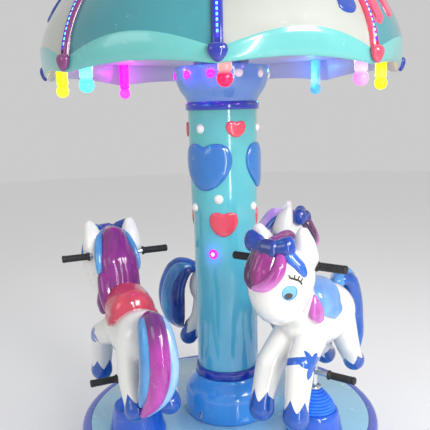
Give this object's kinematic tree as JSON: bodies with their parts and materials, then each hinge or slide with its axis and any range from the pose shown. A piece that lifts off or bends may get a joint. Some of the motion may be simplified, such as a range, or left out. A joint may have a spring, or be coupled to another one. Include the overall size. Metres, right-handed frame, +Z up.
{
  "type": "kiddie carousel",
  "caption": "Coin-op style kiddie carousel: drum base, turning platform with heart-decorated column and lit umbrella canopy, galloping ponies on posts.",
  "frame": {"origin": "centre of the base drum's flat underside, on the floor", "axes": "+Z up along the column; -Y is the side the picture shows; +X to its right"},
  "size_m": [1.5534, 1.5534, 2.4],
  "materials": {
    "base_gelcoat": "gloss gelcoat on fibreglass",
    "deck_gelcoat": "gloss gelcoat on fibreglass",
    "rim_paint": "gloss paint on fibreglass",
    "foot_gelcoat": "gloss gelcoat on fibreglass",
    "band_paint": "gloss paint on fibreglass",
    "column_gelcoat": "gloss gelcoat graded from teal to sky blue",
    "capital_gelcoat": "gloss gelcoat on fibreglass",
    "canopy_gelcoat": "gloss gelcoat in teal and off-white panels",
    "ceiling_gelcoat": "satin gelcoat",
    "rib_paint": "gloss paint with lit strip",
    "coral_paint": "gloss paint on fibreglass",
    "lamp_crimson": "lit translucent plastic",
    "lamp_pink": "lit translucent plastic",
    "lamp_yellow": "lit translucent plastic",
    "lamp_blue": "lit translucent plastic",
    "lamp_green": "lit translucent plastic",
    "lamp_magenta": "lit translucent plastic",
    "lamp_lime": "lit translucent plastic",
    "lamp_cyan": "lit translucent plastic",
    "bellows_rubber": "ribbed moulded rubber",
    "rod_steel": "chromed steel",
    "grip_rubber": "moulded rubber grips on a steel bar",
    "pony_gelcoat": "gloss white gelcoat on fibreglass",
    "purple_paint": "gloss paint on fibreglass",
    "lavender_paint": "gloss paint on fibreglass",
    "light_blue_paint": "gloss paint on fibreglass"
  },
  "bodies": {
    "base": {"base_drum": "base_gelcoat"},
    "turntable": {"platform_deck": "deck_gelcoat", "platform_rim": "rim_paint", "column_foot": "foot_gelcoat", "column_band_lower": "band_paint", "column_shaft": "column_gelcoat", "column_band_upper": "band_paint", "column_capital": "capital_gelcoat", "canopy_shell": "canopy_gelcoat", "canopy_ceiling": "ceiling_gelcoat", "canopy_ribs": "rib_paint", "canopy_finial": "coral_paint", "lamp_1": "lamp_crimson", "lamp_2": "lamp_pink", "lamp_3": "lamp_yellow", "lamp_4": "lamp_blue", "lamp_5": "lamp_green", "lamp_6": "lamp_magenta", "lamp_7": "lamp_lime", "lamp_8": "lamp_cyan", "pedestal_right": "band_paint", "pedestal_left": "band_paint", "pedestal_rear": "band_paint", "bellows_right": "bellows_rubber", "bellows_left": "bellows_rubber", "bellows_rear": "bellows_rubber"},
    "pony_right": {"pony_body_right": "pony_gelcoat", "mane_right": "purple_paint", "tail_right": "light_blue_paint", "saddle_right": "light_blue_paint", "bow_right": "band_paint", "handlebar_right": "grip_rubber", "post_right": "rod_steel"},
    "pony_left": {"pony_body_left": "pony_gelcoat", "mane_left": "purple_paint", "tail_left": "purple_paint", "saddle_left": "coral_paint", "bow_left": "band_paint", "handlebar_left": "grip_rubber", "post_left": "rod_steel"},
    "pony_rear": {"pony_body_rear": "pony_gelcoat", "mane_rear": "lavender_paint", "tail_rear": "band_paint", "saddle_rear": "coral_paint", "bow_rear": "band_paint", "handlebar_rear": "grip_rubber", "post_rear": "rod_steel"}
  },
  "joints": [
    {"name": "turntable_spin", "type": "hinge", "parent": "base", "child": "turntable", "pos_m": [0, 0, 0.175], "axis": [0, 0, 1], "continuous": true},
    {"name": "lift_right", "type": "slide", "parent": "turntable", "child": "pony_right", "axis": [0, 0, 1], "range_m": [-0.055, 0.015], "deforming": ["bellows_right"]},
    {"name": "lift_left", "type": "slide", "parent": "turntable", "child": "pony_left", "axis": [0, 0, 1], "range_m": [0, 0.07], "deforming": ["bellows_left"]},
    {"name": "lift_rear", "type": "slide", "parent": "turntable", "child": "pony_rear", "axis": [0, 0, 1], "range_m": [0, 0.07], "deforming": ["bellows_rear"]}
  ]
}
